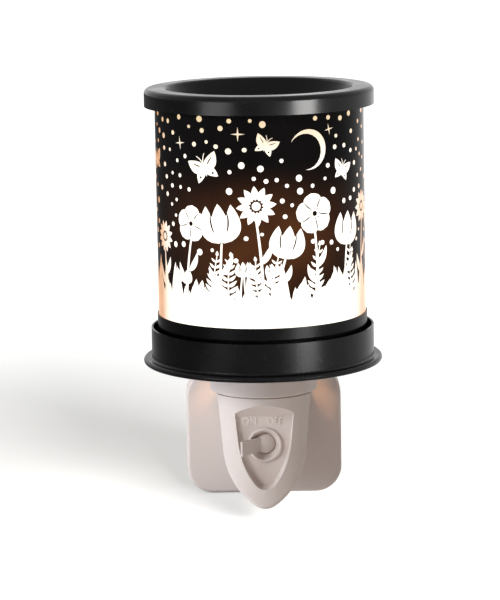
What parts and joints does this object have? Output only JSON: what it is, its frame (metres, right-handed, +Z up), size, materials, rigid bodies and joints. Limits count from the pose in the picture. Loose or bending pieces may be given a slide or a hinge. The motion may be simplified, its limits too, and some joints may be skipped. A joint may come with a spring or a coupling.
{
  "type": "plug-in wax melt warmer",
  "caption": "Wall plug-in wax melt warmer: round metal wax dish on a printed glass cylinder over a bulb, with a toggle switch and a turning plug.",
  "frame": {"origin": "centre of the wall plate's back face, on the turning plug's axis", "axes": "+Y into the wall, along the plug's axis; -Y is the front with the switch; +Z up, along the lamp's own axis"},
  "size_m": [0.1, 0.1215, 0.1834],
  "materials": {
    "dish_metal": "satin",
    "base_metal": "satin",
    "printed_glass": "gloss black print on clear glass",
    "housing_plastic": "satin moulded",
    "switch_plastic": "satin moulded",
    "socket_plastic": "matt moulded",
    "brass_parts": "bright",
    "blade_metal": "bright",
    "cap_metal": "bright",
    "screw_metal": "zinc plated",
    "bulb_clear": "clear",
    "insulator_glass": "gloss black",
    "filament_metal": "bright",
    "lead_jacket_black": "satin",
    "lead_jacket_white": "satin"
  },
  "bodies": {
    "base": {"front_housing": "housing_plastic", "rear_cover": "housing_plastic", "housing_screws": "screw_metal", "neck_collar": "housing_plastic", "base_ring": "base_metal", "base_pan": "base_metal", "shade_gallery": "base_metal", "lamp_socket": "socket_plastic", "socket_shell": "brass_parts", "socket_contact": "brass_parts", "socket_ring_nut": "socket_plastic", "switch_bezel": "switch_plastic", "switch_case": "socket_plastic", "switch_terminals": "brass_parts", "contact_carrier": "socket_plastic", "contact_strip_hot": "brass_parts", "contact_strip_neutral": "brass_parts", "carrier_screws": "screw_metal", "wire_hot": "lead_jacket_black", "wire_neutral": "lead_jacket_white", "wire_switched": "lead_jacket_black"},
    "shade": {"glass_shade": "printed_glass"},
    "dish": {"wax_dish": "dish_metal"},
    "bulb": {"bulb_glass": "bulb_clear", "bulb_cap": "cap_metal", "bulb_insulator": "insulator_glass", "bulb_contact": "brass_parts", "bulb_stem": "bulb_clear", "bulb_filament": "filament_metal"},
    "lever": {"switch_lever": "switch_plastic", "switch_rocker": "brass_parts"},
    "plug": {"plug_disc": "housing_plastic", "blade_hot": "blade_metal", "blade_neutral": "blade_metal"}
  },
  "joints": [
    {"name": "shade_lift", "type": "slide", "parent": "base", "child": "shade", "axis": [0, 0, 1], "range_m": [0, 0.06]},
    {"name": "dish_lift", "type": "slide", "parent": "shade", "child": "dish", "axis": [0, 0, 1], "range_m": [0, 0.04]},
    {"name": "bulb_unscrew", "type": "slide", "parent": "base", "child": "bulb", "axis": [0, 0, 1], "range_m": [0, 0.016]},
    {"name": "switch_throw", "type": "hinge", "parent": "base", "child": "lever", "pos_m": [0, -0.0676, 0.0077], "axis": [0, 0, 1], "range_deg": [0, 76]},
    {"name": "plug_swivel", "type": "hinge", "parent": "base", "child": "plug", "pos_m": [0, 0, 0], "axis": [0, 1, 0], "range_deg": [0, 90]}
  ]
}
